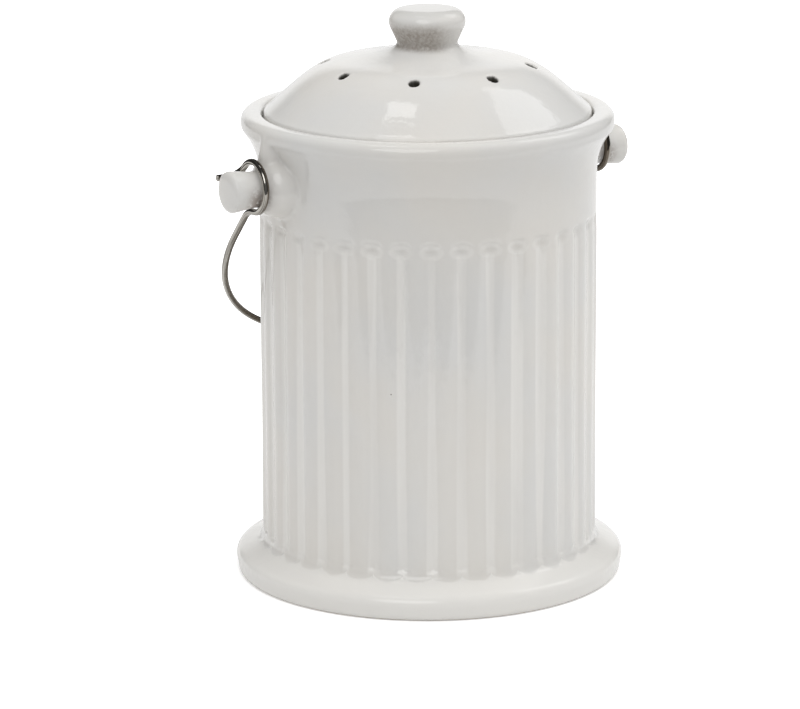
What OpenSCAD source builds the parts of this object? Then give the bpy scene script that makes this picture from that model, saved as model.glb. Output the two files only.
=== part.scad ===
// Countertop compost crock: a reeded, glazed stoneware pot with a rebated rim and two lugs, a
// lift-off vented lid with a knob, a wire bail whose eyes ride on the lugs, and a filter set in
// the lid. Millimetres. The pot stands on z = 0 with its axis on Z, the lugs lie along X and the
// bail hangs against the back, +Y.

/* [Crock] */
// Width of the pot over the crowns of the reeds
body_d = 166.1; // [150:0.1:190]
// Thickness of the pot's wall at a crown
wall_t = 6; // [5:0.1:7.5]
// Height of the pot to the crest of its rim
crock_h = 232.8; // [215:0.1:260]
// Thickness of the pot's floor
floor_t = 7.8; // [6:0.1:12]
// Radius inside the pot where the floor turns up into the wall
inner_corner_r = 10; // [6:0.5:20]

/* [Foot] */
// How far the foot flange stands out from the wall
foot_out = 13.4; // [10:0.1:18]
// Height of the flange's edge to the middle of its upper rounding
foot_edge_h = 8.2; // [6:0.1:12]
// Radius of the rounding on the flange's upper edge
foot_edge_r = 4; // [2:0.1:5]
// Slope of the flange's upper face
foot_slope = 25; // [15:1:35]
// Radius of the cove between the flange and the wall
foot_cove_r = 5; // [3:0.1:7]
// Width of the ring that the pot stands on
foot_ring_w = 8; // [5:0.5:12]
// Depth of the hollow inside that ring
foot_recess = 3.2; // [1.5:0.1:4]

/* [Rim] */
// How far the rim stands out from the wall
rim_out = 8.5; // [7:0.1:12]
// Radius of the cove that sweeps out from the wall to the rim
rim_cove_r = 35; // [24:0.5:45]
// Radius of the rounding under the rim
rim_under_r = 0.8; // [0.4:0.1:2]
// Height of the rim's upright face
rim_face_h = 2.9; // [2:0.1:8]
// Radius of the rounding on the rim's outer upper edge
rim_edge_r = 4.2; // [2:0.1:5]
// Radius of the rounding on the rim's inner upper edge
rim_inner_r = 2; // [1:0.1:2.5]
// Width of the ledge that the lid rests on
ledge_w = 4.2; // [3:0.1:5]
// Depth of that ledge below the crest of the rim
ledge_depth = 5.5; // [4:0.1:8]

/* [Reeds] */
// Number of reeds round the wall
reed_count = 36; // [30:1:42]
// Radius of each reed's round face
reed_r = 12; // [10:0.1:14]
// Distance from the crest of the rim down to the tips of the reeds
reed_drop = 52.1; // [48:0.1:70]
// Half width of the scooped pocket between two reed tips
pocket_half_w = 6; // [5:0.1:6.2]
// Depth of that pocket
pocket_depth = 1.6; // [1:0.1:1.8]
// Height of the pocket above the tips
pocket_rise = 2.4; // [1:0.1:4]
// Length over which the pocket runs out below the tips
pocket_run = 6; // [4:0.1:10]

/* [Lugs] */
// Distance from the crest of the rim down to the lugs' axis
lug_drop = 29.3; // [28:0.1:33]
// Distance from the wall to the edge of a lug's end face
lug_out = 29; // [26:0.1:36]
// Diameter of a lug at its neck
neck_d = 17.6; // [15:0.1:19]
// Diameter of a lug at its head
head_d = 20.4; // [19.5:0.1:23]
// Diameter of a lug's root where it leaves the wall
root_d = 32; // [29:0.1:36]
// Distance from the wall to the middle of the neck, where the bail's eye rides
neck_out = 14.5; // [14:0.1:16]
// Height of the crown on a lug's end face
head_crown = 0.9; // [0.3:0.1:1.5]
// Width of the web that runs from a lug's root up under the rim
web_w = 13; // [10:0.5:16]
// How far the web's edge stands out from the wall at the lug's axis
web_out = 14; // [12:0.5:14]
// Lean of the web towards the rim
web_lean = 12; // [5:0.5:15]

/* [Lid] */
// Running gap between the lid's edge and the rim
lid_gap = 1; // [0.6:0.1:1.4]
// Height of the lid's upright edge
lid_edge_h = 5.2; // [4:0.1:6.5]
// Height of the lid's shoulder above its edge
dome_h = 28.9; // [24:0.1:36]
// Thickness of the lid's dome
dome_t = 6; // [5:0.1:7]
// Depth of the collar that locates the lid in the pot
collar_depth = 9.5; // [8:0.1:14]
// Gap between the collar and the pot
collar_gap = 1.3; // [0.8:0.1:2]
// Thickness of the collar
collar_t = 4.3; // [3.5:0.1:5]

/* [Knob] */
// Width of the knob
knob_d = 37.5; // [32:0.1:44]
// Width of the knob's neck
knob_neck_d = 29.2; // [24:0.1:30]
// Height of the knob above the dome
knob_h = 21.6; // [19:0.1:26]
// Radius of the rounding round the knob's top
knob_edge_r = 6.3; // [4:0.1:7]
// Height of the crown on the knob's top
knob_crown = 0.3; // [0.1:0.1:1.5]

/* [Vents] */
// Number of vents in the lid
vent_count = 8; // [4:1:12]
// Diameter of a vent
vent_d = 5.5; // [4:0.1:7]
// Diameter of the circle that the vents lie on
vent_ring_d = 101.8; // [90:0.1:110]
// Turn of the ring of vents from the lugs' axis, as the lid lies
vent_turn = 6.8; // [0:0.1:45]

/* [Bail] */
// Diameter of the bail's wire
wire_d = 3.3; // [2.5:0.1:3.8]
// Loose gap between the eye's inside and the lug's neck
eye_gap = 1.75; // [1.4:0.05:2]
// Reach of the bail from its eyes to the middle of its bow
bail_reach = 130.5; // [120:0.5:150]
// Offset of the bail's bow from the middle of its eyes
bow_offset = 4.2; // [2:0.1:6]
// Gap between the hanging bow and the reeds that it rests against
rest_gap = 0.3; // [0.2:0.05:0.5]
// How far the eye stands above the lug's axis as the bail hangs
eye_lift = 1.1; // [0:0.1:1.2]
// How far the eye runs on past its top, towards the back
eye_over = 44; // [20:1:50]
// Radius of the bend that turns the wire's end outwards behind the lug
end_bend_r = 8; // [5:0.1:9]
// Length of the straight tip after that bend
tip_len = 4.3; // [2:0.1:8]

/* [Filter] */
// Thickness of the carbon filter
carbon_t = 6.5; // [4:0.1:8]
// Thickness of the felt pad under it
felt_t = 2.5; // [1.5:0.1:4]
// Thickness of the retainer
retainer_t = 2.8; // [2:0.1:4]
// Gap round the filter and the retainer inside the collar
filter_gap = 0.3; // [0.2:0.05:0.6]
// Width of the retainer's bars
bar_w = 4; // [3:0.1:6]
// Number of the retainer's spokes
spoke_count = 8; // [6:1:10]

/* [Hidden] */
$fn = 120;

GLAZE = [0.90, 0.90, 0.88];
STEEL = [0.72, 0.72, 0.71];
CARBON = [0.13, 0.13, 0.13];
FELT = [0.80, 0.80, 0.77];
PLASTIC = [0.93, 0.93, 0.92];

// Pot
body_r = body_d / 2;
inner_r = body_r - wall_t;
foot_r = body_r + foot_out;
foot_bottom_r = foot_r - 1;
floor_z = foot_recess + floor_t;
// Where the cove over the flange leaves the wall, from its tangency with the sloping face
slope_dir = [sin(foot_slope), cos(foot_slope)];
slope_start = [foot_r - foot_edge_r, foot_edge_h] + foot_edge_r * slope_dir;
foot_cove_z = slope_start[1]
    + (foot_cove_r - (body_r + foot_cove_r - slope_start[0]) * slope_dir[0]) / slope_dir[1];

// Rim: the cove under it and the rounding of its lower edge touch where their centres line up
rim_r = body_r + rim_out;
under_c = [rim_r - rim_under_r, crock_h - rim_edge_r - rim_face_h];
cove_reach = rim_cove_r + rim_under_r;
cove_c = [body_r + rim_cove_r,
    under_c[1] - sqrt(cove_reach ^ 2 - (body_r + rim_cove_r - under_c[0]) ^ 2)];
cove_turn = atan2(under_c[1] - cove_c[1], under_c[0] - cove_c[0]);
ledge_r = inner_r + ledge_w;
ledge_z = crock_h - ledge_depth;
ledge_round = 1.2;

// Reeds: each flute is what two neighbouring reeds leave between them
reed_pitch = 360 / reed_count;
reed_proud = 0.1;
reed_c_r = body_r + reed_proud - reed_r;
reed_tip_z = crock_h - reed_drop;
reed_foot_z = foot_cove_z + 0.6;
flute_side = reed_pitch / 2 - 0.4;
flute_bottom_r = reed_c_r * cos(reed_pitch / 2)
    + sqrt(reed_r ^ 2 - (reed_c_r * sin(reed_pitch / 2)) ^ 2);
// The pocket is turned about an upright line outside the wall
pocket_r = (pocket_half_w ^ 2 + pocket_depth ^ 2) / (2 * pocket_depth);
pocket_off = pocket_r - pocket_depth;

// Lugs
lug_z = crock_h - lug_drop;
lug_end_x = body_r + lug_out;
neck_x = body_r + neck_out;
head_round = 1.6;
web_rise = (ledge_z - lug_z) / cos(web_lean) - 0.5;

// Bail: reach and offset are taken from the middle of its eyes. Each bend draws the wire down a
// little, so the end faces of two bends that meet differ in size. The bends lap a little where
// they meet, by an angle in the eye and the turn and by a length in the leg.
wire_r = wire_d / 2;
bend_thinning = 0.02;
run_lap = 3;
turn_lap = 0.25;
leg_lap = 0.05;
eye_r = neck_d / 2 + eye_gap + wire_r;
bow_r = neck_x;
bow_c = bail_reach - bow_r;
rest_reach = body_r + rest_gap + wire_r;
hang = acos(rest_reach / norm([bail_reach, bow_offset])) - atan2(bow_offset, bail_reach);
turn_r = (eye_r * cos(hang) - bow_offset) / (1 - cos(hang));
leg_start = (eye_r + turn_r) * sin(hang);

// Lid
lid_r = ledge_r - lid_gap;
lid_z = ledge_z;
lid_top_z = lid_z + lid_edge_h;
collar_r = inner_r - collar_gap;
collar_in_r = collar_r - collar_t;
collar_z = lid_z - collar_depth;
shoulder_z = lid_z + 3.5;
shoulder_w = 3;
dome_z = lid_top_z + dome_h;
knob_r = knob_d / 2;
knob_neck_r = knob_neck_d / 2;
knob_z = dome_z + knob_h;
vent_r = vent_ring_d / 2;

// Filter set, stacked down from the lid's inner shoulder
stack_gap = 0.1;
pad_r = collar_in_r - filter_gap;
carbon_z = shoulder_z - stack_gap - carbon_t;
felt_z = carbon_z - stack_gap - felt_t;
retainer_z = felt_z - stack_gap - retainer_t;
hub_r = 11;
mid_ring_r = (pad_r + hub_r) / 2;

// Points on an arc about c, from angle a to angle b
function arc(c, r, a, b, n = 8) =
    [for (i = [0 : n]) let (t = a + (b - a) * i / n) c + r * [cos(t), sin(t)]];

// Points on a smooth curve from p to s, leaving towards q and arriving from r
function sweep_curve(p, q, r, s, n = 12) =
    [for (i = [0 : n]) let (t = i / n, v = 1 - t)
        v ^ 3 * p + 3 * v ^ 2 * t * q + 3 * v * t ^ 2 * r + t ^ 3 * s];

// Outline of the pot's wall, floor, flange and rim, from the foot ring round to the axis
function crock_outline() = concat(
    [[foot_bottom_r - foot_ring_w, 0], [foot_bottom_r - 1.4, 0]],
    arc([foot_bottom_r - 1.4, 1.4], 1.4, -60, 0, 3),
    arc([foot_r - foot_edge_r, foot_edge_h], foot_edge_r, 0, 90 - foot_slope, 6),
    arc([body_r + foot_cove_r, foot_cove_z], foot_cove_r, 270 - foot_slope, 180, 6),
    arc(cove_c, rim_cove_r, 180, cove_turn, 9),
    arc(under_c, rim_under_r, cove_turn - 180, 0, 5),
    arc([rim_r - rim_edge_r, crock_h - rim_edge_r], rim_edge_r, 0, 90, 6),
    arc([ledge_r + rim_inner_r, crock_h - rim_inner_r], rim_inner_r, 90, 180, 4),
    [[ledge_r, ledge_z]],
    arc([inner_r + ledge_round, ledge_z - ledge_round], ledge_round, 90, 180, 3),
    arc([inner_r - inner_corner_r, floor_z + inner_corner_r], inner_corner_r, 0, -90, 7),
    [[0, floor_z], [0, foot_recess],
        [foot_bottom_r - foot_ring_w - foot_recess / 2, foot_recess]]
);

// What is cut from the wall between two reeds, about X, with the wall's axis at the origin
module flute_section() {
    difference() {
        polygon([for (e = [[flute_bottom_r - 1, -1], [body_r + 2, -1], [body_r + 2, 1],
            [flute_bottom_r - 1, 1]]) e[0] * [1, e[1] * tan(flute_side)]]);
        for (s = [-1, 1]) rotate(s * reed_pitch / 2) translate([reed_c_r, 0]) circle(reed_r);
    }
}

// Turned tool that scoops the pocket at the top of a flute
module pocket_tool() {
    rotate_extrude($fn = 64) polygon(concat(
        [[0, -pocket_run], [pocket_off, -pocket_run], [pocket_r, 0]],
        [for (a = [22.5 : 22.5 : 90])
            [pocket_off + pocket_depth * cos(a), pocket_rise * sin(a)]],
        [[0, pocket_rise]]
    ));
}

module flutes() {
    for (i = [0 : reed_count - 1]) rotate(i * reed_pitch) {
        translate([0, 0, reed_foot_z])
            linear_extrude(reed_tip_z + pocket_rise / 2 - reed_foot_z) flute_section();
        translate([body_r + pocket_off, 0, reed_tip_z]) pocket_tool();
    }
}

// A lug, turned about X: a broad root on the wall, a neck for the eye and a flared head
module lug() {
    root_x = body_r - wall_t / 3;
    saddle = [neck_d / 2 + 1.1, neck_x - 2.7];
    rotate([0, 90, 0]) rotate_extrude($fn = 96) polygon(concat(
        [[0, root_x - 2], [root_d / 2, root_x - 2]],
        sweep_curve([root_d / 2, root_x], [root_d / 2 - 0.6, root_x + 9.5],
            saddle + [3.6, -3.3], saddle, 9),
        sweep_curve(saddle, saddle + [-0.7, 0.65], [neck_d / 2, neck_x - 1.7],
            [neck_d / 2, neck_x - 0.6], 4),
        [[neck_d / 2, neck_x + 2.2]],
        arc([head_d / 2 - head_round, lug_end_x - head_round], head_round, 0, 75, 4),
        sweep_curve([head_d / 2 - head_round, lug_end_x + head_crown * 0.1],
            [head_d / 3, lug_end_x + head_crown * 0.7], [head_d / 6, lug_end_x + head_crown],
            [0, lug_end_x + head_crown], 5)
    ));
}

// The web over a lug, a round-edged bar that leans in from the root to the rim
module web() {
    web_r = web_w / 2;
    translate([body_r + web_out - web_r, 0, 0]) rotate([0, -web_lean, 0])
        linear_extrude(web_rise) polygon(concat(
            [[-8, -web_r]], arc([0, 0], web_r, -90, 90, 12), [[-8, web_r]]));
}

module crock() {
    color(GLAZE) difference() {
        union() {
            rotate_extrude($fn = 180) polygon(crock_outline());
            for (s = [0, 1]) translate([0, 0, lug_z]) mirror([s, 0, 0]) {
                lug();
                web();
            }
        }
        flutes();
    }
}

// Upper face of the lid: the knob, its fillet, the crown of the dome and the ogee to the brim
function lid_top() = let (
        neck = [knob_neck_r, dome_z + 4.8],
        crown = [knob_neck_r + 6.8, dome_z],
        shoulder = [lid_r * 0.733, dome_z - dome_h * 0.363],
        brim = [lid_r - 1.2, lid_top_z + 1.1]
    ) concat(
        [[0, knob_z], [knob_r - knob_edge_r, knob_z - knob_crown]],
        arc([knob_r - knob_edge_r, knob_z - knob_crown - knob_edge_r], knob_edge_r, 80, -25, 7),
        sweep_curve(neck, neck + [0.2, -2.2], crown + [-3.6, 0.9], crown, 6),
        sweep_curve(crown, crown + [20, -5], shoulder + [-13, 8.7], shoulder, 12),
        sweep_curve(shoulder, shoulder + [6.3, -4.2], brim + [-3.6, 3.2], brim, 12),
        arc([lid_r - 1.2, lid_top_z - 0.1], 1.2, 75, 0, 3)
    );

// Lower face of the lid: its seat, the collar, the filter's shoulder and the inside of the dome
function lid_bottom() = let (
        mouth = [collar_in_r - shoulder_w, shoulder_z],
        haunch = [lid_r * 0.7, dome_z - dome_h * 0.39 - dome_t * 1.05],
        vault = [0, dome_z - dome_t]
    ) concat(
        [[lid_r, lid_z + 0.8], [lid_r - 0.8, lid_z], [collar_r, lid_z],
            [collar_r, collar_z + 1], [collar_r - 1, collar_z],
            [collar_in_r + 0.8, collar_z], [collar_in_r, collar_z + 0.8],
            [collar_in_r, shoulder_z]],
        sweep_curve(mouth, mouth + [-0.8, 4], haunch + [4.6, -3.8], haunch, 8),
        sweep_curve(haunch, haunch + [-12, 9.2], vault + [24, 0], vault, 10)
    );

module lid() {
    color(GLAZE) difference() {
        rotate_extrude($fn = 180) polygon(concat(lid_top(), lid_bottom()));
        for (i = [0 : vent_count - 1]) rotate(vent_turn + i * 360 / vent_count)
            translate([vent_r, 0, shoulder_z]) cylinder(d = vent_d, h = dome_h + dome_t, $fn = 48);
    }
}

// Wire bent to radius r about Z, from X through a sweep of a degrees, and thinned a little by it
module wire_bend(r, a, thinned) {
    rotate_extrude(angle = a, $fn = 72) translate([r, 0])
        circle(wire_r - thinned * bend_thinning, $fn = 24);
}

// One side of the bail at +X, with the middle of its eyes on X
module bail_side() {
    // The eye: half a turn in an upright plane, from its top over the front to its bottom
    translate([neck_x, 0, 0]) rotate([0, 90, 0]) rotate([0, 0, 180]) wire_bend(eye_r, 180, 1);
    // Its run on behind the top, the bend outwards behind the lug's head, and the straight tip
    rotate([-eye_over, 0, 0]) translate([neck_x, 0, 0]) {
        rotate([0, 90, 0]) rotate([0, 0, 180]) wire_bend(eye_r, eye_over + run_lap, 2);
        translate([end_bend_r, 0, eye_r]) rotate([0, 0, 90]) wire_bend(end_bend_r, 90, 3);
        translate([end_bend_r, end_bend_r, eye_r]) rotate([0, 90, 0])
            cylinder(r = wire_r - bend_thinning, h = tip_len, $fn = 24);
    }
    // The turn that leads from the eye's bottom into the leg
    translate([neck_x, 0, -eye_r - turn_r]) rotate([0, -90, 0]) rotate([0, 0, -turn_lap])
        wire_bend(turn_r, hang + turn_lap, 2);
    // The straight leg
    rotate([-hang, 0, 0]) translate([neck_x, leg_start - leg_lap, -bow_offset])
        rotate([-90, 0, 0]) cylinder(r = wire_r, h = bow_c - leg_start + leg_lap, $fn = 24);
}

module bail_handle() {
    color(STEEL) translate([0, 0, lug_z + eye_lift]) {
        bail_side();
        mirror([1, 0, 0]) bail_side();
        rotate([-hang, 0, 0]) translate([0, bow_c, -bow_offset]) wire_bend(bow_r, 180, 1);
    }
}

module carbon_filter() {
    color(CARBON) translate([0, 0, carbon_z]) cylinder(r = pad_r, h = carbon_t);
}

module felt_filter() {
    color(FELT) translate([0, 0, felt_z]) cylinder(r = pad_r, h = felt_t);
}

// A round of windows between radius a and radius b, with the spokes left standing
module windows(a, b) {
    difference() {
        translate([0, 0, -1]) cylinder(r = b, h = retainer_t + 2);
        translate([0, 0, -2]) cylinder(r = a, h = retainer_t + 4);
        for (i = [0 : spoke_count - 1]) rotate(i * 360 / spoke_count)
            translate([a / 2, -bar_w / 2, -3]) cube([b, bar_w, retainer_t + 6]);
    }
}

module filter_retainer() {
    color(PLASTIC) translate([0, 0, retainer_z]) difference() {
        cylinder(r = pad_r, h = retainer_t);
        windows(hub_r, mid_ring_r - bar_w / 2);
        windows(mid_ring_r + bar_w / 2, pad_r - bar_w);
    }
}

crock();
lid();
bail_handle();
carbon_filter();
felt_filter();
filter_retainer();
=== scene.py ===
"""Looks of a glazed stoneware compost crock: glaze, wire, filter set and studio.

Lengths are in metres in the shared frame, except where a comment says millimetres."""

import math

import bpy
import numpy as np
from mathutils import Matrix, Quaternion, Vector, noise


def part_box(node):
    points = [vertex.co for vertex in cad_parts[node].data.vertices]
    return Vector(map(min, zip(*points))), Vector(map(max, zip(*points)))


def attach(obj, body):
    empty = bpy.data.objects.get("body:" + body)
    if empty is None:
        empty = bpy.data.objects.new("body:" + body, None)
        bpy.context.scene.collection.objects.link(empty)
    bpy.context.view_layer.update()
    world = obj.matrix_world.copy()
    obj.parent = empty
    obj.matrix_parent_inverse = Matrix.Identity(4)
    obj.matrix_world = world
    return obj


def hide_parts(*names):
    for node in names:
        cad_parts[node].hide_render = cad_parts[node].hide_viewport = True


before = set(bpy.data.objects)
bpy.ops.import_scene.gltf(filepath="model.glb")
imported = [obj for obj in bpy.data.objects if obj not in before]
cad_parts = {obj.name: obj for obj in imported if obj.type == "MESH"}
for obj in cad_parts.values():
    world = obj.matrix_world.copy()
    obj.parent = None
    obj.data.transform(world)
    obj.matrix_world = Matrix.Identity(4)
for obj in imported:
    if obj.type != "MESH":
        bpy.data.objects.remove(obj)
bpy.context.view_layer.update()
scene = bpy.context.scene
scene.view_settings.view_transform = "Standard"
MM = 0.001

# Sizes that the source fixes, in millimetres and radians
LUG_Z, EYE_LIFT = 203.5, 1.1
NECK_X, EYE_R = 97.55, 12.2
EYE_OVER, END_BEND_R, TIP_LEN = math.radians(44), 8.0, 4.3
BAIL_REACH, BOW_OFFSET, BODY_R, REST_GAP = 130.5, 4.2, 83.05, 0.3
WIRE_R = 1.65
LID_Z, COLLAR_R, KNOB_Z = 227.3, 75.75, 261.4
REED_PITCH, REED_R, REED_C = math.radians(10), 12.0, 71.15
REED_FOOT_Z, REED_TIP_Z = 19.3, 180.7
VENT_RING, VENT_R, VENT_TURN, VENT_PITCH = 50.9, 2.75, math.radians(6.8), math.radians(45)
# From reed to reed, round the wall
REED_STEP = REED_PITCH * BODY_R

# Marks of the glaze and of painted light, in millimetres, and two sides of the pot as angles about
# its axis from +X
# The lit side of the knob's neck, where its painted shade is weakest
NECK_LIT_SIDE = math.radians(-31)
# The side of the wall, toward the camera, where the painted highlight round each pocket and the
# painted shade in it are strongest
POCKET_LIGHT_SIDE = math.radians(-121)
# Radius of the hollows that the glaze leaves between the reeds
HOLLOW_R = 7.5
# Each pocket at a reed tip, round whose rim a highlight is painted: its height and half its width
# and height
POCKET_Z, POCKET_W, POCKET_H = 179.0, 5.3, 3.1
# The painted shade in each pocket: half its width and height, and how far it lies above the
# pocket's middle
DIP_W, DIP_H, DIP_UP = 2.9, 0.75, 0.6
# The rounded lower end of a reed: half its width, and its height
REED_END_W, REED_END_H = 7.25, 3.0
# How deep behind the wall's face its marks may lie
MARK_DEPTH = 3.2

# How far up the bare body shows at the foot, and to each side of the face that the lid rests on
FOOT_BARE, SEAT_BARE = 0.0006, 0.0009
# Points closer than this are welded
WELD_GAP = 2e-6
# Rings of a sheared wire end: how far in, in millimetres, and the share of the full radius
END_STEPS = ((0.0, 0.80), (0.10, 0.95), (0.35, 1.0))

# The camera as solved from the outlines of the pot; azimuth 0 stands in front, on the -Y side
CAMERA_AZ, CAMERA_EL = math.radians(-31), math.radians(13.461)
CAMERA_TURNS = (-0.383, -0.826, -0.211)
CAMERA_FAR = 2.10907
FOCAL_PIXELS, PHOTO_PIXELS, SENSOR_MM = 4258.6, 800, 36
LOOK_AT = Vector((0, 0, 0.14))

# Ways in the room, seen from the pot: level to the camera's side, level to that side's right,
# and up to the window that gloss mirrors
TO_CAMERA, TO_RIGHT = (-0.49, -0.87, 0.0), (0.87, -0.49, 0.0)
TO_WINDOW = (-0.582, -0.562, 0.588)


# ---------------------------------------------------------------- camera
def way_to(az, el):
    """The way from the pot to something at an azimuth and an elevation."""
    return Vector((math.sin(az) * math.cos(el), -math.cos(az) * math.cos(el), math.sin(el)))


def add_camera():
    """The photograph's camera."""
    az = CAMERA_AZ
    yaw, pitch, roll = (math.radians(v) for v in CAMERA_TURNS)
    back = way_to(az, CAMERA_EL)
    right = Vector((math.cos(az), math.sin(az), 0))
    up = right.cross(-back)
    look = -back * math.cos(yaw) + right * math.sin(yaw)
    right = right * math.cos(yaw) + back * math.sin(yaw)
    look, up = (look * math.cos(pitch) + up * math.sin(pitch),
                up * math.cos(pitch) - look * math.sin(pitch))
    right, up = (right * math.cos(roll) + up * math.sin(roll),
                 up * math.cos(roll) - right * math.sin(roll))
    place = LOOK_AT + CAMERA_FAR * back
    data = bpy.data.cameras.new("camera")
    data.sensor_width = SENSOR_MM
    data.lens = FOCAL_PIXELS / PHOTO_PIXELS * SENSOR_MM
    cam = bpy.data.objects.new("camera", data)
    scene.collection.objects.link(cam)
    cam.matrix_world = Matrix([[right[i], up[i], -look[i], place[i]] for i in range(3)]
                              + [[0, 0, 0, 1]])
    scene.camera = cam


# ---------------------------------------------------------------- node helpers
class Nodes:
    """A small hand for building the nodes of a tree."""

    def __init__(self, tree):
        self.tree = tree

    def new(self, kind, **settings):
        n = self.tree.nodes.new("ShaderNode" + kind)
        for key, value in settings.items():
            setattr(n, key, value)
        return n

    def put(self, socket, value):
        """Links a socket to another, or sets its constant."""
        if isinstance(value, bpy.types.NodeSocket):
            self.tree.links.new(value, socket)
        else:
            socket.default_value = value

    def place(self):
        return self.new("TexCoord").outputs["Object"]

    def attribute(self, name):
        return self.new("Attribute", attribute_name=name).outputs["Fac"]

    def parts(self, vector):
        """The x, y and z of a vector."""
        n = self.new("SeparateXYZ")
        self.put(n.inputs[0], vector)
        return n.outputs

    def vector(self, x, y, z=0.0):
        n = self.new("CombineXYZ")
        for k, value in enumerate((x, y, z)):
            self.put(n.inputs[k], value)
        return n.outputs[0]

    def dot(self, vector, way):
        n = self.new("VectorMath", operation="DOT_PRODUCT")
        self.put(n.inputs[0], vector)
        self.put(n.inputs[1], way)
        return n.outputs["Value"]

    def noise(self, vector, scale, detail=2.0, rough=0.5):
        n = self.new("TexNoise")
        for key, value in (("Vector", vector), ("Scale", scale), ("Detail", detail),
                           ("Roughness", rough)):
            self.put(n.inputs[key], value)
        return n.outputs["Fac"]

    def cells(self, vector, scale, feature="F1"):
        n = self.new("TexVoronoi", feature=feature)
        self.put(n.inputs["Vector"], vector)
        self.put(n.inputs["Scale"], scale)
        return n.outputs

    def math(self, op, a, b=0.0, c=0.0):
        n = self.new("Math", operation=op)
        for k, value in enumerate((a, b, c)):
            self.put(n.inputs[k], value)
        return n.outputs[0]

    def times(self, first, *others):
        """The product of all the values."""
        for value in others:
            first = self.math("MULTIPLY", first, value)
        return first

    def swing(self, value, far):
        """A value from 0 to 1 spread to between -far and far."""
        return self.math("MULTIPLY_ADD", value, 2 * far, -far)

    def span(self, value, lo, hi, to_lo=0.0, to_hi=1.0):
        """A soft step of a value between lo and hi, from to_lo to to_hi."""
        n = self.new("MapRange", interpolation_type="SMOOTHSTEP")
        for k, v in enumerate((value, lo, hi, to_lo, to_hi)):
            self.put(n.inputs[k], v)
        return n.outputs[0]

    def mix(self, fac, a, b, blend="MIX"):
        n = self.new("Mix", data_type="RGBA", blend_type=blend)
        for k, v in ((0, fac), (6, a), (7, b)):
            self.put(n.inputs[k], v)
        return n.outputs[2]

    def bump(self, height, distance, strength=1.0, normal=None):
        """A relief as deep as distance, on top of another normal where one is given."""
        n = self.new("Bump")
        self.put(n.inputs["Height"], height)
        self.put(n.inputs["Distance"], distance)
        self.put(n.inputs["Strength"], strength)
        if normal is not None:
            self.put(n.inputs["Normal"], normal)
        return n.outputs["Normal"]


class Surface(Nodes):
    """The nodes of a new material."""

    def __init__(self, name):
        self.mat = bpy.data.materials.new(name)
        self.mat.use_nodes = True
        super().__init__(self.mat.node_tree)
        self.bsdf = self.tree.nodes["Principled BSDF"]

    def set(self, **sockets):
        """Sets inputs of the principled shader by name, and hands out the material."""
        for key, value in sockets.items():
            self.put(self.bsdf.inputs[key.replace("_", " ").title().replace("Ior", "IOR")], value)
        return self.mat


def rgb(r, g, b):
    return (r, g, b, 1.0)


WHITE = rgb(1, 1, 1)
# Colours of the glaze, of what lies in it and of the body under it
WARM_GLAZE, COOL_GLAZE = rgb(0.784, 0.760, 0.718), rgb(0.752, 0.746, 0.728)
CLOUD_SHADE = rgb(0.985, 0.985, 0.985)
HOLLOW_GLAZE, CREST_GLAZE = rgb(0.84, 0.83, 0.80), rgb(0.80, 0.77, 0.71)
POOLED_GLAZE_AND_HIGHLIGHT, FOOT_GLAZE_AND_LIGHT = rgb(0.87, 0.855, 0.82), rgb(0.88, 0.865, 0.83)
DIP_SHADE, IRON = rgb(0.60, 0.575, 0.53), rgb(0.12, 0.085, 0.05)
NECK_PAINTED_SHADE, KNOB_TOP_PAINTED_SHADE = rgb(0.36, 0.325, 0.29), rgb(0.655, 0.645, 0.62)
VENT_PAINTED_SHADE, WIRE_PAINTED_SHADE = rgb(0.022, 0.020, 0.012), rgb(0.26, 0.20, 0.165)
BODY_DARK, BODY_PALE = rgb(0.60, 0.52, 0.42), rgb(0.73, 0.66, 0.56)


# ---------------------------------------------------------------- materials
def toward(m, xyz, side):
    """How far a point lies from the pot's axis towards one side."""
    return m.math("MULTIPLY_ADD", xyz[0], math.cos(side), m.times(xyz[1], math.sin(side)))


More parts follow.
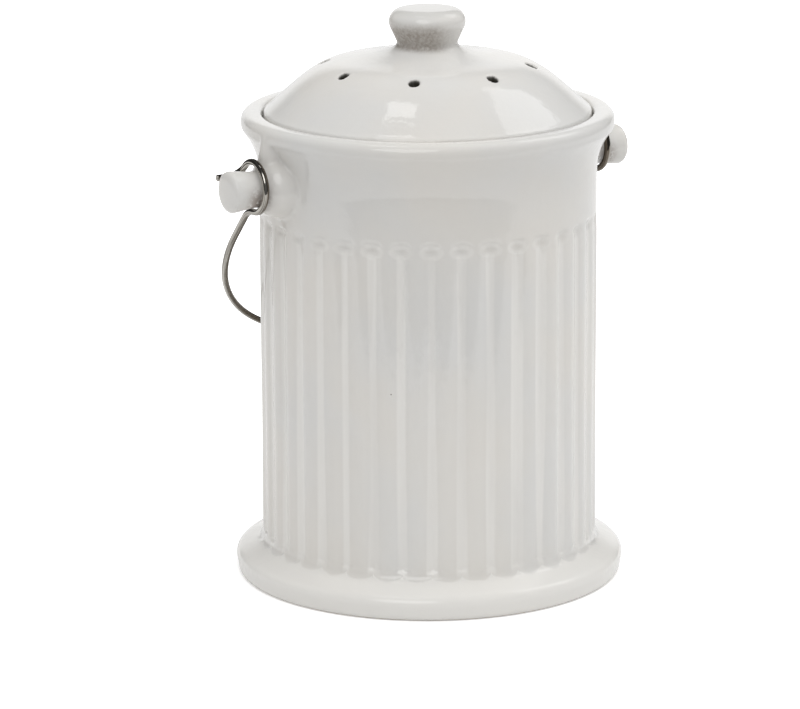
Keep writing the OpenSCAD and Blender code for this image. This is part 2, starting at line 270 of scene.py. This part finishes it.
def flute_masks(m, at, xyz, radius):
    """Masks of the reeded wall. The flutes' bottoms are paler, partly from pooled glaze and partly
    as a painted reflection. A highlight is painted round the rim of each pocket and shade in its
    middle, both strongest on the camera's side. The foot below the reeds' rounded ends is paler,
    partly from thicker glaze and partly as painted light. Lengths are in millimetres, across runs
    round the wall from the nearest flute's middle."""
    turn = m.math("DIVIDE", m.math("ARCTAN2", xyz[1], xyz[0]), REED_PITCH)
    across = m.times(m.math("SUBTRACT", turn, m.math("ROUND", turn)), REED_STEP)
    z = m.times(xyz[2], 1 / MM)
    wall = m.math("GREATER_THAN", radius, (BODY_R - MARK_DEPTH) * MM)

    # Streaks that are drawn out along the flutes sway them, widen them and let them fade
    drawn_out = m.new("Mapping", vector_type="POINT")
    m.put(drawn_out.inputs["Vector"], at)
    m.put(drawn_out.inputs["Scale"], (1, 1, 0.12))
    streak = m.noise(drawn_out.outputs[0], 60, 2)
    width = m.span(m.noise(drawn_out.outputs[0], 40, 1), 0.34, 0.66, 1.7, 3.4)
    middle = m.math("ABSOLUTE", m.math("ADD", across, m.swing(streak, 0.9)))
    # The flutes' bottoms: paler from pooled glaze, and partly a painted reflection
    flute = m.times(m.span(m.math("SUBTRACT", middle, width), 0.8, -0.8),
                    m.span(z, REED_FOOT_Z - 3, REED_FOOT_Z + 1),
                    m.span(z, POCKET_Z, POCKET_Z - POCKET_H),
                    m.span(streak, 0.32, 0.62, 0.35, 1.0))

    drifted = m.math("ADD", z, m.swing(m.noise(at, 160, 2), 0.8))

    def oval(half_w, half_h, height):
        a = m.math("POWER", m.math("DIVIDE", across, half_w), 2.0)
        b = m.math("DIVIDE", m.math("SUBTRACT", drifted, height), half_h)
        return m.math("SQRT", m.math("ADD", a, m.times(b, b)))

    out = oval(POCKET_W, POCKET_H, POCKET_Z)
    # The pockets' painted highlight and painted shade are strongest toward the camera and fade to
    # the sides
    camera_side = m.span(toward(m, xyz, POCKET_LIGHT_SIDE), 0.62 * BODY_R * MM, 0.9 * BODY_R * MM, 0.4, 1.0)
    lip = m.times(m.span(out, 0.35, 0.85), m.span(out, 1.3, 0.95),
                  m.span(m.noise(at, 45, 2), 0.35, 0.65, 0.35, 1.0), camera_side)
    dip = m.times(m.span(oval(DIP_W, DIP_H, POCKET_Z + DIP_UP), 1.4, 0.4), camera_side)

    crown = m.math("SUBTRACT", REED_STEP / 2, m.math("ABSOLUTE", across))
    round_end = m.math("SUBTRACT", 1.0, m.math("POWER", m.math("DIVIDE", crown, REED_END_W), 2.0))
    reed_end = m.math("MULTIPLY_ADD", m.math("SQRT", m.math("MAXIMUM", round_end, 0.0)),
                      -REED_END_H, REED_FOOT_Z)
    # The foot below the reeds' ends: paler from thicker glaze, and partly painted light
    foot = m.span(m.math("SUBTRACT", drifted, reed_end), 0.6, -0.6)
    return [m.times(mask, wall) for mask in (flute, lip, dip, foot)]


def clouded_glaze(m, at):
    """Plain glaze in warm and cool clouds. It is pale where it pools in hollows, and thin on
    crests, where the warmer body shows faintly."""
    tone = m.mix(m.span(m.noise(at, 14, 3), 0.35, 0.7), WARM_GLAZE, COOL_GLAZE)
    cloud = m.mix(m.span(m.noise(at, 55, 4, 0.6), 0.3, 0.75), CLOUD_SHADE, WHITE)
    colour = m.mix(1.0, tone, cloud, "MULTIPLY")
    point = m.new("NewGeometry").outputs["Pointiness"]
    colour = m.mix(m.span(point, 0.495, 0.44, 0, 0.5), colour, HOLLOW_GLAZE)
    return m.mix(m.span(point, 0.53, 0.60, 0, 0.35), colour, CREST_GLAZE)


def iron_specks(m, at):
    """Where a few iron specks and pinholes lie."""
    cell = m.cells(at, 70)
    rare = m.new("SeparateColor")
    m.put(rare.inputs[0], cell["Color"])
    return m.times(m.span(cell["Distance"], 0.028, 0.016),
                   m.math("GREATER_THAN", rare.outputs[0], 0.955))


def knob_painted_shade(m, at, xyz, colour):
    """Painted shade under the knob: the undercut of its neck is painted brownish and mottled,
    strongest on the side away from the light, for the shade and dark reflection there; and the
    knob's top is painted a little darker."""
    z = xyz[2]
    neck = m.times(m.span(z, (KNOB_Z + 1) * MM, (KNOB_Z + 4) * MM),
                   m.span(z, (KNOB_Z + 18) * MM, (KNOB_Z + 11) * MM),
                   m.span(toward(m, xyz, NECK_LIT_SIDE), 15.5 * MM, 1 * MM, 0.1, 1.0))
    mottle = m.span(m.noise(at, 700, 3, 0.7), 0.3, 0.7)
    colour = m.mix(m.times(neck, m.math("MULTIPLY_ADD", mottle, 0.4, 0.65)), colour, NECK_PAINTED_SHADE)
    top = m.span(z, (KNOB_Z + 18.5) * MM, (KNOB_Z + 20.8) * MM, 0.0, 0.8)
    return m.mix(top, colour, KNOB_TOP_PAINTED_SHADE)


def wire_painted_shade(m, at, xyz):
    """Where brown painted shade lies on the lugs' necks under the wire's eye, for the wire's shadow
    and dark reflection there. The foot reaches as far out, so the marks end well above it."""
    out, z = m.math("ABSOLUTE", xyz[0]), xyz[2]
    return m.times(m.span(out, (NECK_X - 5) * MM, (NECK_X - 1) * MM),
                   m.span(out, (NECK_X + 10) * MM, (NECK_X + 3) * MM),
                   m.span(z, (LUG_Z + 5) * MM, (LUG_Z - 4) * MM),
                   m.math("GREATER_THAN", z, (LUG_Z - 20) * MM),
                   m.span(m.noise(at, 420, 3, 0.7), 0.30, 0.56))


def glaze_material(name, bare_low, bare_high, bare_radius, reeded=False):
    """White glaze over stoneware, left bare between two heights, outside a radius."""
    m = Surface(name)
    at = m.place()
    xyz = m.parts(at)
    radius = m.math("SQRT", m.math("ADD", m.math("POWER", xyz[0], 2.0),
                                   m.math("POWER", xyz[1], 2.0)))
    colour = clouded_glaze(m, at)
    if reeded:
        flute, lip, dip, foot = flute_masks(m, at, xyz, radius)
        # Paler glaze down the flutes, partly pooled glaze and partly a painted reflection; a
        # painted highlight round each pocket's rim and painted shade in its middle; and a paler
        # foot, partly thicker glaze and partly painted light
        for mask, share, tint in ((flute, 0.75, POOLED_GLAZE_AND_HIGHLIGHT), (lip, 0.5, POOLED_GLAZE_AND_HIGHLIGHT),
                                  (dip, 0.14, DIP_SHADE), (foot, 0.8, FOOT_GLAZE_AND_LIGHT)):
            colour = m.mix(m.times(mask, share), colour, tint)
    speck = iron_specks(m, at)
    colour = m.mix(m.times(speck, 0.75), colour, IRON)
    # Vents are bare, and painted near black inside as painted shade of the dark hollow under the
    # lid
    vent = m.attribute("vent")
    colour = m.mix(vent, colour, VENT_PAINTED_SHADE)
    # Painted shade under the knob and on its top
    colour = knob_painted_shade(m, at, xyz, colour)
    if reeded:
        # Painted shade of the wire on the lugs' necks
        colour = m.mix(m.times(wire_painted_shade(m, at, xyz), 0.7), colour, WIRE_PAINTED_SHADE)

    # Bare body where the piece stands or rests, with an edge that wanders a little
    height = m.math("ADD", xyz[2], m.swing(m.noise(at, 420, 3), 0.3 * MM))
    bare = m.times(m.math("GREATER_THAN", height, bare_low),
                   m.math("LESS_THAN", height, bare_high),
                   m.math("GREATER_THAN", radius, bare_radius))
    colour = m.mix(bare, colour, m.mix(m.noise(at, 1600, 3, 0.7), BODY_DARK, BODY_PALE))

    rough = m.math("MULTIPLY_ADD", m.noise(at, 38, 4, 0.6), 0.06, 0.02)
    rough = m.math("ADD", rough, m.times(speck, 0.3))
    rough = m.math("MAXIMUM", rough, m.times(m.math("MAXIMUM", bare, vent), 0.85))

    # A soft ripple, what has pooled, fine orange peel, sunk specks, and the bare body's grain
    skin = m.bump(m.noise(at, 190, 2), 0.00010)
    if reeded:
        skin = m.bump(m.math("SUBTRACT", lip, dip), 0.00010, normal=skin)
        skin = m.bump(foot, 0.00025, normal=skin)
    skin = m.bump(m.noise(at, 1100, 2), 0.000012, normal=skin)
    skin = m.bump(m.times(speck, -1.0), 0.00012, normal=skin)
    skin = m.bump(m.times(bare, m.noise(at, 2600, 3, 0.7)), 0.00012, normal=skin)
    return m.set(base_color=colour, roughness=rough, normal=skin, ior=1.47)


def steel_material():
    """Bright drawn wire with fine lines along it, a few dull handling marks, and a dark brown
    painted reflection on the side that faces the pot."""
    m = Surface("bail_wire_steel")
    at = m.place()
    around = m.attribute("around")
    run = m.vector(m.times(m.attribute("along"), 14.0), m.math("SINE", around),
                   m.math("COSINE", around))
    lines = m.noise(run, 2.2, 5, 0.65)
    marks = m.noise(at, 320, 4, 0.7)
    colour = m.mix(m.span(lines, 0.36, 0.62), rgb(0.13, 0.118, 0.098), rgb(0.52, 0.50, 0.46))
    colour = m.mix(m.span(marks, 0.45, 0.8, 0, 0.4), colour, rgb(0.20, 0.185, 0.16))
    # Painted dark reflection on the side that faces the pot
    facing = m.parts(m.new("TexCoord").outputs["Normal"])
    inward = m.times(facing[0], m.math("SIGN", m.parts(at)[0]))
    colour = m.mix(m.span(inward, 0.5, -0.2, 0, 0.8), colour, rgb(0.090, 0.068, 0.046))
    rough = m.math("MULTIPLY_ADD", marks, 0.10, 0.05)
    skin = m.bump(lines, 0.00003, 0.5)
    skin = m.bump(m.noise(at, 700, 3), 0.00002, 0.5, normal=skin)
    return m.set(base_color=colour, metallic=1.0, roughness=rough, normal=skin)


def carbon_material():
    """Open-celled foam loaded with carbon."""
    m = Surface("carbon_filter_foam")
    at = m.place()
    pores = m.span(m.cells(at, 620, "SMOOTH_F1")["Distance"], 0.15, 0.55)
    tint = m.mix(m.noise(at, 60, 4), rgb(0.016, 0.016, 0.017), rgb(0.034, 0.033, 0.031))
    # The pores are painted near black, as painted shade in the open cells
    colour = m.mix(pores, rgb(0.004, 0.004, 0.004), tint)
    fibre = m.noise(at, 2400, 4, 0.7)
    skin = m.bump(pores, 0.0005)
    skin = m.bump(fibre, 0.0001, normal=skin)
    return m.set(base_color=colour, roughness=m.math("MULTIPLY_ADD", fibre, 0.2, 0.75),
                 normal=skin)


def felt_material():
    """Needled felt: pale, fuzzy and slightly flecked."""
    m = Surface("felt_filter_felt")
    at = m.place()
    warp = m.noise(at, 260, 4, 0.7)
    twist = m.new("VectorMath", operation="ADD")
    m.put(twist.inputs[0], at)
    m.put(twist.inputs[1], m.vector(m.times(warp, 0.012), m.times(warp, -0.009)))
    hair = m.noise(twist.outputs[0], 1500, 6, 0.8)
    colour = m.mix(m.span(hair, 0.3, 0.7), rgb(0.40, 0.40, 0.375), rgb(0.62, 0.61, 0.58))
    fleck = m.span(m.noise(at, 900, 2), 0.70, 0.76)
    colour = m.mix(m.times(fleck, 0.5), colour, rgb(0.20, 0.19, 0.17))
    return m.set(base_color=colour, roughness=m.math("MULTIPLY_ADD", hair, 0.1, 0.88),
                 normal=m.bump(hair, 0.0003), sheen_weight=0.25, sheen_roughness=0.5)


def plastic_material():
    """Satin white moulding with a fine spark-eroded grain."""
    m = Surface("retainer_plastic")
    at = m.place()
    grain = m.noise(at, 2600, 3, 0.6)
    flow = m.noise(at, 45, 3)
    colour = m.mix(flow, rgb(0.70, 0.70, 0.68), rgb(0.75, 0.75, 0.735))
    rough = m.math("MULTIPLY_ADD", grain, 0.18, 0.34)
    skin = m.bump(grain, 0.00003)
    skin = m.bump(flow, 0.0002, 0.5, normal=skin)
    return m.set(base_color=colour, roughness=rough, normal=skin, ior=1.5)


# ---------------------------------------------------------------- mesh helpers
def link(name, mesh):
    ob = bpy.data.objects.new(name, mesh)
    scene.collection.objects.link(ob)
    return ob


def shade_smooth(mesh):
    mesh.polygons.foreach_set("use_smooth", np.ones(len(mesh.polygons), bool))
    mesh.update()


def bake_modifiers(ob):
    """Replaces a piece's mesh with what its modifiers make of it."""
    bpy.context.view_layer.update()
    made = bpy.data.meshes.new_from_object(ob.evaluated_get(
        bpy.context.evaluated_depsgraph_get()))
    ob.modifiers.clear()
    old, ob.data = ob.data, made
    bpy.data.meshes.remove(old)


def glazed_copy(node, name, voxel, rounds):
    """A piece with a node's form, its edges and hollows rounded as a coat of glaze rounds them."""
    ob = link(name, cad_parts[node].data.copy())
    ob.data.materials.clear()
    weld = ob.modifiers.new("weld", "WELD")
    weld.merge_threshold = WELD_GAP
    net = ob.modifiers.new("net", "REMESH")
    net.mode = "VOXEL"
    net.voxel_size = voxel
    net.use_smooth_shade = True
    soft = ob.modifiers.new("soft", "SMOOTH")
    soft.factor = 0.5
    soft.iterations = rounds
    bake_modifiers(ob)
    return ob


def points_of(mesh):
    co = np.empty(len(mesh.vertices) * 3)
    mesh.vertices.foreach_get("co", co)
    return co.reshape(-1, 3)


def move_points(mesh, co):
    mesh.vertices.foreach_set("co", co.ravel())
    mesh.update()


def keep_on_points(mesh, label, values):
    """Keeps a value on each point, for the material."""
    mesh.attributes.new(label, "FLOAT", "POINT").data.foreach_set("value", values)


def smooth_step(value, lo, hi):
    t = np.clip((value - lo) / (hi - lo), 0, 1)
    return t * t * (3 - 2 * t)


def soften_reeds(ob):
    """Gives the wall between foot and reed tips the wave that thick glaze leaves of its reeds:
    round crowns, and hollows as round as a finger."""
    mesh = ob.data
    co = points_of(mesh) / MM
    radius = np.hypot(co[:, 0], co[:, 1])
    turn = np.arctan2(co[:, 1], co[:, 0]) / REED_PITCH
    across = np.abs(turn - np.round(turn)) * REED_PITCH * BODY_R
    centre = np.array([REED_C * math.cos(REED_PITCH / 2), REED_C * math.sin(REED_PITCH / 2)])
    hollow_x = centre[0] + math.sqrt((REED_R + HOLLOW_R) ** 2 - centre[1] ** 2)
    meet = centre[1] * HOLLOW_R / (REED_R + HOLLOW_R)
    hollow = hollow_x - np.sqrt(np.maximum(HOLLOW_R ** 2 - across ** 2, 0))
    crown = centre[0] + np.sqrt(np.maximum(REED_R ** 2 - (centre[1] - across) ** 2, 0))
    wave = np.where(across < meet, hollow, crown) + across ** 2 / (2 * BODY_R)
    # It fades out above the foot and below the tips, and leaves the inner wall alone
    part = smooth_step(co[:, 2], REED_FOOT_Z + 1, REED_FOOT_Z + 4) \
        * (1 - smooth_step(co[:, 2], REED_TIP_Z - 7, REED_TIP_Z - 3)) * (radius > BODY_R - 3)
    scale = 1 + part * (wave / radius - 1)
    co[:, :2] *= scale[:, None]
    move_points(mesh, co * MM)


def mark_vents(ob):
    """Keeps on each point how surely it lies in a vent, for the material."""
    co = points_of(ob.data) / MM
    turn = (np.arctan2(co[:, 1], co[:, 0]) - VENT_TURN) / VENT_PITCH
    angle = (np.round(turn) * VENT_PITCH) + VENT_TURN
    away = np.hypot(co[:, 0] - VENT_RING * np.cos(angle), co[:, 1] - VENT_RING * np.sin(angle))
    inside, outside = 0.15, 0.35  # how far the mark fades to either side of a vent's edge
    keep_on_points(ob.data, "vent", 1 - smooth_step(away, VENT_R - inside, VENT_R + outside))


def uneven(ob, coat, height, waves, seed):
    """Puts a coat on a piece's skin and moves it in and out by up to height, in soft waves,
    but leaves it alone where the pot stands."""
    gentlest, steepest = 60, 170  # of the waves, in radians per metre
    still, free = 0.5, 2.5  # heights over the table, in millimetres, between which it sets in
    mesh = ob.data
    n = len(mesh.vertices)
    co, nor = points_of(mesh), np.empty(n * 3, np.float32)
    mesh.vertex_normals.foreach_get("vector", nor)
    nor = nor.reshape(-1, 3)
    rng = np.random.RandomState(seed)
    total = np.zeros(n)
    for _ in range(waves):
        d = rng.normal(size=3)
        d *= rng.uniform(gentlest, steepest) / np.linalg.norm(d)
        total += np.sin(co @ d + rng.uniform(0, 2 * math.pi))
    lifted = smooth_step(co[:, 2] / MM, still, free)
    co += nor * ((coat + total * (height / waves)) * lifted)[:, None]
    move_points(mesh, co)


# ---------------------------------------------------------------- bail
def arc3(centre, a, b, radius, start, end, count):
    """Points about centre from angle start to end, in the plane of a and b."""
    t = np.linspace(start, end, count)[:, None]
    return centre + radius * (np.cos(t) * a + np.sin(t) * b)


def bail_path():
    """Centre line of the bail in millimetres, from its left tip to its right one."""
    x, y, z = np.eye(3)
    hang = math.acos((BODY_R + REST_GAP + WIRE_R) / math.hypot(BAIL_REACH, BOW_OFFSET)) \
        - math.atan2(BOW_OFFSET, BAIL_REACH)
    turn_r = (EYE_R * math.cos(hang) - BOW_OFFSET) / (1 - math.cos(hang))
    back = y * math.cos(EYE_OVER) - z * math.sin(EYE_OVER)
    over = y * math.sin(EYE_OVER) + z * math.cos(EYE_OVER)
    bend_c = (NECK_X + END_BEND_R) * x + EYE_R * over
    tip = bend_c + END_BEND_R * back + np.linspace(TIP_LEN, 0, 8)[:, None] * x
    bend = arc3(bend_c, back, -x, END_BEND_R, 0, math.pi / 2, 12)
    eye = arc3(NECK_X * x, z, y, EYE_R, EYE_OVER, -math.pi, 64)
    turn = arc3(NECK_X * x - (EYE_R + turn_r) * z, z, y, turn_r, 0, hang, 14)
    down = y * math.cos(hang) - z * math.sin(hang)
    away = -y * math.sin(hang) - z * math.cos(hang)
    bow_c = (BAIL_REACH - NECK_X) * down + BOW_OFFSET * away
    bow = arc3(bow_c, x, down, NECK_X, 0, math.pi / 2, 60)
    half = np.concatenate([tip[:-1], bend[:-1], eye[:-1], turn[:-1]])
    leg = turn[-1] + np.linspace(0, 1, 14)[:-1, None] * (bow[0] - turn[-1])
    half = np.concatenate([half, leg, bow])
    other = half[::-1][1:] * (-1, 1, 1)
    return np.concatenate([half, other]) + (0, 0, LUG_Z + EYE_LIFT)


def wire_piece(name, path, radius, sides):
    """A round wire along a path, its sheared ends slightly rounded, with its length and its
    turn about the path kept on its points for the material."""
    tangent = np.gradient(path, axis=0)
    tangent /= np.linalg.norm(tangent, axis=1)[:, None]
    length = np.concatenate([[0], np.cumsum(np.linalg.norm(np.diff(path, axis=0), axis=1))])
    side = np.cross(tangent[0], (0, 0, 1.0))
    side /= np.linalg.norm(side)
    rings, along, around = [], [], []
    angle = np.linspace(0, 2 * math.pi, sides, endpoint=False)
    last = len(path) - 1
    for i, point in enumerate(path):
        side = side - tangent[i] * (side @ tangent[i])
        side /= np.linalg.norm(side)
        up = np.cross(tangent[i], side)
        steps = [(0.0, 1.0)]
        if i == 0:
            steps = END_STEPS
        elif i == last:
            steps = [(-shift, share) for shift, share in reversed(END_STEPS)]
        for shift, share in steps:
            c, r = point + shift * tangent[i], radius * share
            rings.append(c + r * (np.cos(angle)[:, None] * side + np.sin(angle)[:, None] * up))
            along += [length[i] + shift] * sides
            around += list(angle)
    n = len(rings)
    faces = [(i * sides + k, i * sides + (k + 1) % sides, (i + 1) * sides + (k + 1) % sides,
              (i + 1) * sides + k) for i in range(n - 1) for k in range(sides)]
    faces += [tuple(range(sides))[::-1], tuple((n - 1) * sides + k for k in range(sides))]
    mesh = bpy.data.meshes.new(name)
    mesh.from_pydata((np.concatenate(rings) * MM).tolist(), [], faces)
    keep_on_points(mesh, "along", np.array(along) * MM)
    keep_on_points(mesh, "around", around)
    shade_smooth(mesh)
    mesh.polygons[-1].use_smooth = mesh.polygons[-2].use_smooth = False
    return link(name, mesh)


# ---------------------------------------------------------------- filter set
def pad_piece(name, node, round_r, rough, cell):
    """A round pad with a soft edge of radius round_r and a surface that is pressed in by up to
    rough, in cells of 1 / cell, in the space of its CAD node."""
    rings, sides, edge_steps = 54, 240, 4
    face = 0.985  # share of the radius over which the rings of a face are spread
    lo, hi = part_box(node)
    radius, low, high = hi.x, lo.z, hi.z
    profile = [(radius * k / rings * face, high) for k in range(1, rings)]
    mid = (high + low) / 2
    half = (high - low) / 2
    profile += [(radius - round_r + round_r * math.cos(t), mid + (half - round_r) * s
                 + round_r * math.sin(t))
                for s, t in [(1, math.pi / 2 * (1 - k / edge_steps)) for k in range(edge_steps + 1)]
                + [(-1, -math.pi / 2 * k / edge_steps) for k in range(edge_steps + 1)]]
    profile += [(radius * k / rings * face, low) for k in range(rings - 1, 0, -1)]
    t = np.linspace(0, 2 * math.pi, sides, endpoint=False)
    pts = [(0, 0, high)]
    for r, z in profile:
        pts += [(r * math.cos(a), r * math.sin(a), z) for a in t]
    pts.append((0, 0, low))
    n = len(profile)
    faces = [(0, 1 + k, 1 + (k + 1) % sides) for k in range(sides)]
    faces += [(1 + i * sides + k, 1 + (i + 1) * sides + k, 1 + (i + 1) * sides + (k + 1) % sides,
               1 + i * sides + (k + 1) % sides) for i in range(n - 1) for k in range(sides)]
    end = 1 + n * sides
    faces += [(end, 1 + (n - 1) * sides + (k + 1) % sides, 1 + (n - 1) * sides + k)
              for k in range(sides)]
    mesh = bpy.data.meshes.new(name)
    mesh.from_pydata(pts, [], faces)
    increment, lacunarity, octaves = 0.8, 2.2, 3  # of the fractal noise
    for v in mesh.vertices:
        d = noise.fractal(v.co * cell, increment, lacunarity, octaves) * 0.5 + 0.5
        pull = rough * min(max(d, 0), 1)
        v.co.z += pull if v.co.z < mid else -pull
        v.co.x *= 1 - pull / radius
        v.co.y *= 1 - pull / radius
    shade_smooth(mesh)
    ob = link(name, mesh)
    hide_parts(node)
    return ob


# ---------------------------------------------------------------- studio
def add_floor():
    """A white table top that keeps the pot's soft shadow close in and is plain white beyond, and
    ends on the camera's side, where the pot's gloss finds the dim room."""
    mesh = bpy.data.meshes.new("floor")
    front = way_to(CAMERA_AZ, 0)
    side = Vector((-front.y, front.x, 0))
    near, far, half = 0.55, -9, 2.5
    corners = [front * a + side * b for a, b in ((near, -half), (near, half), (far, half),
                                                 (far, -half))]
    mesh.from_pydata([c[:] for c in corners], [], [(0, 1, 2, 3)])
    ob = link("floor", mesh)
    m = Surface("floor_white")
    at = m.place()
    length = m.new("VectorMath", operation="LENGTH")
    m.put(length.inputs[0], at)
    path = m.new("LightPath")
    # In a mirror the lit floor and its glow add up to white
    mirrored = m.math("MAXIMUM", path.outputs["Is Glossy Ray"],
                      path.outputs["Is Transmission Ray"])
    seen = m.math("MAXIMUM", path.outputs["Is Camera Ray"], m.times(mirrored, 0.25))
    glow = m.span(length.outputs["Value"], 0.12, 0.34, 0.40, 1.0)
    m.set(base_color=m.mix(m.noise(at, 3, 2), rgb(0.88, 0.88, 0.88), rgb(0.90, 0.90, 0.90)),
          roughness=0.9, specular_ior_level=0.0, emission_color=WHITE,
          emission_strength=m.times(seen, glow))
    mesh.materials.append(m.mat)


def add_world():
    """Plain white to the camera. As a light it is a room, dimmer on the camera's side, and what
    gloss mirrors of it is set apart."""
    world = bpy.data.worlds.new("world")
    scene.world = world
    world.use_nodes = True
    m = Nodes(world.node_tree)
    direction = m.new("TexCoord").outputs["Generated"]
    front = m.dot(direction, TO_CAMERA)
    room = m.times(m.span(front, -0.35, 0.75, 0.70, 0.485),
                   m.span(m.dot(direction, TO_RIGHT), -1, 1, 1.07, 1.11))
    # The white sweep behind, dark walls beside, a dim room in front
    mirror = m.math("MAXIMUM", m.span(front, -0.85, -0.965, 0.08, 1.0),
                    m.span(front, 0.3, 0.9, 0.08, 0.16))
    # ... and a window in it, which draws a short line of light on the rim, the knob and the foot
    mirror = m.math("MAXIMUM", mirror,
                    m.span(m.dot(direction, TO_WINDOW), 0.935, 0.955, 0.0, 2.6))
    path = m.new("LightPath")
    glossy = path.outputs["Is Glossy Ray"]
    strength = m.math("ADD", m.times(room, m.math("SUBTRACT", 1.0, glossy)),
                      m.times(mirror, glossy))
    shade = m.tree.nodes["Background"]
    m.put(shade.inputs["Color"], WHITE)
    m.put(shade.inputs["Strength"], m.math("MAXIMUM", path.outputs["Is Camera Ray"], strength))


def add_lamp(name, azimuth, elevation, distance, width, height, power, roll=0, mirrored=True):
    """A softbox that looks at the pot; its angles are in degrees, its power in watts."""
    way = way_to(math.radians(azimuth), math.radians(elevation))
    data = bpy.data.lights.new(name, "AREA")
    data.shape = "RECTANGLE"
    data.size, data.size_y = width, height
    data.energy = power
    ob = bpy.data.objects.new(name, data)
    scene.collection.objects.link(ob)
    ob.location = LOOK_AT + way * distance
    turn = Quaternion((0, 0, 1), math.radians(roll))
    ob.rotation_euler = (way.to_track_quat("Z", "Y") @ turn).to_euler()
    ob.visible_glossy = mirrored


# ---------------------------------------------------------------- build
add_camera()

crock = glazed_copy("crock", "crock_body", voxel=0.9 * MM, rounds=9)
soften_reeds(crock)
uneven(crock, coat=0.12 * MM, height=0.16 * MM, waves=14, seed=3)
crock.data.materials.append(glaze_material(
    "crock_glaze", bare_low=-1.0, bare_high=FOOT_BARE, bare_radius=0.0, reeded=True))
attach(crock, "crock")
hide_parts("crock")

lid = glazed_copy("lid", "lid_body", voxel=0.75 * MM, rounds=6)
mark_vents(lid)
uneven(lid, coat=0.15 * MM, height=0.12 * MM, waves=12, seed=8)
lid.data.materials.append(glaze_material(
    "lid_glaze", bare_low=LID_Z * MM - SEAT_BARE, bare_high=LID_Z * MM + SEAT_BARE,
    bare_radius=COLLAR_R * MM))
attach(lid, "lid")
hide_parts("lid")

bail = wire_piece("bail_wire", bail_path(), WIRE_R, sides=28)
bail.data.materials.append(steel_material())
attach(bail, "bail")
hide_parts("bail_handle")

foam = pad_piece("carbon_foam", "carbon_filter", round_r=0.0006, rough=0.0004, cell=900)
foam.data.materials.append(carbon_material())
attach(foam, "filter_set")

felt = pad_piece("felt_pad", "felt_filter", round_r=0.0009, rough=0.0003, cell=420)
felt.data.materials.append(felt_material())
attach(felt, "filter_set")

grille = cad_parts["filter_retainer"]
grille.data.materials.clear()
grille.data.materials.append(plastic_material())
join = grille.modifiers.new("weld", "WELD")
join.merge_threshold = WELD_GAP
ease = grille.modifiers.new("ease", "BEVEL")
ease.width = 0.45 * MM
ease.segments = 3
ease.limit_method = "ANGLE"
ease.angle_limit = math.radians(40)

add_floor()
add_world()
add_lamp("softbox", azimuth=86, elevation=50, distance=1.5, width=0.62, height=0.66, power=2.0)
add_lamp("window", azimuth=-112, elevation=79, distance=1.5, width=0.16, height=0.34, power=0.52,
         roll=-28)
add_lamp("top_light", azimuth=-20, elevation=64, distance=1.6, width=1.2, height=1.2, power=9.0,
         mirrored=False)
